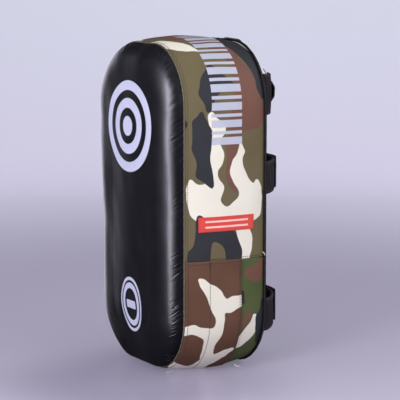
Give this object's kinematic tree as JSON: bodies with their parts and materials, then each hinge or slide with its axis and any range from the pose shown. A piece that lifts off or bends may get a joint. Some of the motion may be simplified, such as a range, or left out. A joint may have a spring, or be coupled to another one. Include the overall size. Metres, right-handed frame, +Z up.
{
  "type": "forearm kick pad",
  "caption": "Foam kick pad with a domed strike face, worn on the forearm behind split hook-and-loop straps and a padded hand grip.",
  "frame": {"origin": "on the flat of the bottom end, in the middle of the width and of the case's depth", "axes": "+X to the wearer's side that carries the loop halves of the straps, +Y away from the strike face, out through the forearm side, +Z up, from the elbow end to the hand end"},
  "size_m": [0.202, 0.1997, 0.401],
  "materials": {
    "black_leather": "soft gloss",
    "camouflage_leather": "satin, printed",
    "camouflage_patch": "satin, printed",
    "welt_cord": "satin",
    "soft_foam": "open-cell foam",
    "firm_foam": "closed-cell foam",
    "back_leather": "grained",
    "red_label": "woven",
    "webbing": "woven",
    "strap_leather": "satin",
    "hook_tape": "hook pile",
    "loop_tape": "loop pile"
  },
  "bodies": {
    "pad": {"strike_cover": "black_leather", "strike_foam": "soft_foam", "core_foam": "firm_foam", "back_foam": "soft_foam", "upper_gusset": "camouflage_leather", "lower_gusset": "camouflage_leather", "wear_patch": "camouflage_patch", "front_welt": "welt_cord", "back_cover": "back_leather", "back_binding": "black_leather", "forearm_cushion": "back_leather", "side_label_right": "red_label", "side_label_left": "red_label", "handle_strap": "webbing", "handle_padding": "soft_foam", "handle_sleeve": "black_leather", "lower_hook_strap_anchor": "strap_leather", "lower_loop_strap_anchor": "strap_leather", "upper_hook_strap_anchor": "strap_leather", "upper_loop_strap_anchor": "strap_leather"},
    "lower_hook_strap_root": {"lower_hook_strap_base": "strap_leather"},
    "lower_hook_strap_end": {"lower_hook_strap_tip": "strap_leather", "lower_hook_tape": "hook_tape"},
    "lower_loop_strap_root": {"lower_loop_strap_base": "strap_leather"},
    "lower_loop_strap_end": {"lower_loop_strap_tip": "strap_leather", "lower_loop_tape": "loop_tape"},
    "upper_hook_strap_root": {"upper_hook_strap_base": "strap_leather"},
    "upper_hook_strap_end": {"upper_hook_strap_tip": "strap_leather", "upper_hook_tape": "hook_tape"},
    "upper_loop_strap_root": {"upper_loop_strap_base": "strap_leather"},
    "upper_loop_strap_end": {"upper_loop_strap_tip": "strap_leather", "upper_loop_tape": "loop_tape"},
    "hanging_loop": {"hanging_loop": "webbing"}
  },
  "joints": [
    {"name": "lower_hook_strap_open", "type": "hinge", "parent": "pad", "child": "lower_hook_strap_root", "pos_m": [-0.09, 0.0596, 0.066], "axis": [0, 0, 1], "range_deg": [0, 70]},
    {"name": "lower_hook_strap_uncurl", "type": "hinge", "parent": "lower_hook_strap_root", "child": "lower_hook_strap_end", "pos_m": [-0.03929, 0.10816, 0.066], "axis": [0, 0, 1], "range_deg": [0, 63]},
    {"name": "lower_loop_strap_open", "type": "hinge", "parent": "pad", "child": "lower_loop_strap_root", "pos_m": [0.09, 0.0596, 0.066], "axis": [0, 0, 1], "range_deg": [-42, 0]},
    {"name": "lower_loop_strap_uncurl", "type": "hinge", "parent": "lower_loop_strap_root", "child": "lower_loop_strap_end", "pos_m": [0.04306, 0.10071, 0.066], "axis": [0, 0, 1], "range_deg": [-28, 0]},
    {"name": "upper_hook_strap_open", "type": "hinge", "parent": "pad", "child": "upper_hook_strap_root", "pos_m": [-0.09, 0.0596, 0.235], "axis": [0, 0, 1], "range_deg": [0, 70]},
    {"name": "upper_hook_strap_uncurl", "type": "hinge", "parent": "upper_hook_strap_root", "child": "upper_hook_strap_end", "pos_m": [-0.03929, 0.10816, 0.235], "axis": [0, 0, 1], "range_deg": [0, 63]},
    {"name": "upper_loop_strap_open", "type": "hinge", "parent": "pad", "child": "upper_loop_strap_root", "pos_m": [0.09, 0.0596, 0.235], "axis": [0, 0, 1], "range_deg": [-42, 0]},
    {"name": "upper_loop_strap_uncurl", "type": "hinge", "parent": "upper_loop_strap_root", "child": "upper_loop_strap_end", "pos_m": [0.04306, 0.10071, 0.235], "axis": [0, 0, 1], "range_deg": [-28, 0]},
    {"name": "hanging_loop_swing", "type": "hinge", "parent": "pad", "child": "hanging_loop", "pos_m": [0, 0.061, 0.399], "axis": [1, 0, 0], "range_deg": [0, 110]}
  ],
  "couplings": [
    {"joint": "lower_hook_strap_uncurl", "follows": "lower_hook_strap_open", "ratio": 0.9},
    {"joint": "lower_loop_strap_open", "follows": "lower_hook_strap_open", "ratio": -0.6},
    {"joint": "lower_loop_strap_uncurl", "follows": "lower_hook_strap_open", "ratio": -0.4},
    {"joint": "upper_hook_strap_uncurl", "follows": "upper_hook_strap_open", "ratio": 0.9},
    {"joint": "upper_loop_strap_open", "follows": "upper_hook_strap_open", "ratio": -0.6},
    {"joint": "upper_loop_strap_uncurl", "follows": "upper_hook_strap_open", "ratio": -0.4}
  ]
}
